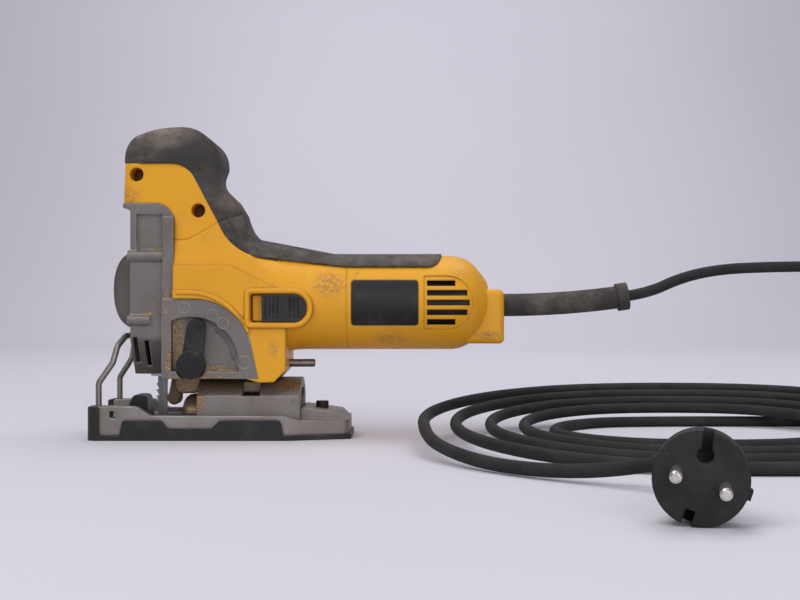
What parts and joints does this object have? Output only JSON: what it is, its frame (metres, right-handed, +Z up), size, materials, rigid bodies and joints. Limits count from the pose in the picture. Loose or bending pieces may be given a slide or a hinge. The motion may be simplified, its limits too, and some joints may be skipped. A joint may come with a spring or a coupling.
{
  "type": "corded jigsaw",
  "caption": "Corded body-grip jigsaw with a rubber knob, slide switch, orbit lever, bevelling shoe, wire guard, reciprocating blade and a loosely coiled mains cord with plug.",
  "frame": {"origin": "middle of the tool's footprint on the floor under the sole, cord left out", "axes": "+X towards the cord end, +Y to the side away from the orbit lever, +Z up; blade at -X"},
  "size_m": [0.5467, 0.4516, 0.1946],
  "materials": {
    "yellow_plastic": "scuffed amber moulding",
    "black_rubber": "dull dusty rubber",
    "cord_sheath": "smooth rubber sheath",
    "black_plastic": "moulded, slightly worn",
    "cast_aluminium": "die-cast, worn",
    "steel": "plain steel",
    "bronze": "sintered bronze",
    "copper": "lacquered winding",
    "carbon": "pressed carbon",
    "nickel": "nickel plated"
  },
  "bodies": {
    "housing": {"main_housing": "yellow_plastic", "rear_cover": "yellow_plastic", "handle_left": "yellow_plastic", "handle_right": "yellow_plastic", "knob_rubber": "black_rubber", "main_grip": "black_rubber", "rear_grip": "black_rubber", "bend_sleeve": "black_rubber", "cord_lead": "cord_sheath", "cord_coil": "cord_sheath", "cord_tail": "cord_sheath", "plug": "cord_sheath", "side_plate": "black_plastic", "brush_carrier": "black_plastic", "switch_module": "black_plastic", "gear_case": "cast_aluminium", "front_cover": "cast_aluminium", "bearing_bridge": "cast_aluminium", "handle_screws": "steel", "field_stack": "steel", "motor_bearings": "steel", "gear_bearing": "steel", "fork_pin": "steel", "plunger_bushes": "bronze", "field_coils": "copper", "carbon_brushes": "carbon", "plug_pins": "nickel"},
    "armature": {"armature": "steel", "cooling_fan": "black_plastic"},
    "drive_gear": {"drive_gear": "steel"},
    "plunger": {"plunger": "steel", "blade_clamp": "steel", "blade": "steel"},
    "pendulum_fork": {"pendulum_fork": "steel", "roller_pin": "steel"},
    "guide_roller": {"guide_roller": "steel"},
    "orbit_lever": {"orbit_lever": "black_plastic"},
    "slide_switch": {"slide_switch": "black_plastic"},
    "shoe": {"shoe_plate": "cast_aluminium", "tilt_barrel": "cast_aluminium", "shoe_screw": "steel", "sole_cover": "black_plastic", "splinter_insert": "black_plastic", "wire_guard": "steel"},
    "lock_rod": {"lock_rod": "steel"}
  },
  "joints": [
    {"name": "motor_spin", "type": "hinge", "parent": "housing", "child": "armature", "pos_m": [0, 0, 0.0846], "axis": [1, 0, 0], "continuous": true},
    {"name": "gear_spin", "type": "hinge", "parent": "housing", "child": "drive_gear", "pos_m": [-0.069, 0, 0.1066], "axis": [1, 0, 0], "continuous": true},
    {"name": "plunger_stroke", "type": "slide", "parent": "housing", "child": "plunger", "axis": [0, 0, 1], "range_m": [0, 0.026]},
    {"name": "fork_swing", "type": "hinge", "parent": "housing", "child": "pendulum_fork", "pos_m": [-0.074, 0, 0.05], "axis": [0, 1, 0], "range_deg": [-4, 0]},
    {"name": "roller_spin", "type": "hinge", "parent": "pendulum_fork", "child": "guide_roller", "pos_m": [-0.0807, 0, 0.024], "axis": [0, 1, 0], "continuous": true},
    {"name": "orbit_lever_turn", "type": "hinge", "parent": "housing", "child": "orbit_lever", "pos_m": [-0.066, 0, 0.046], "axis": [0, 1, 0], "range_deg": [-10, 60]},
    {"name": "switch_slide", "type": "slide", "parent": "housing", "child": "slide_switch", "axis": [1, 0, 0], "range_m": [-0.007, 0]},
    {"name": "shoe_bevel", "type": "hinge", "parent": "housing", "child": "shoe", "pos_m": [0, 0, 0], "axis": [1, 0, 0], "range_deg": [-45, 45]},
    {"name": "lock_rod_turn", "type": "hinge", "parent": "housing", "child": "lock_rod", "pos_m": [-0.008, 0, 0.046], "axis": [1, 0, 0], "range_deg": [0, 90]}
  ],
  "couplings": [
    {"joint": "gear_spin", "follows": "motor_spin", "ratio": -0.15789}
  ]
}
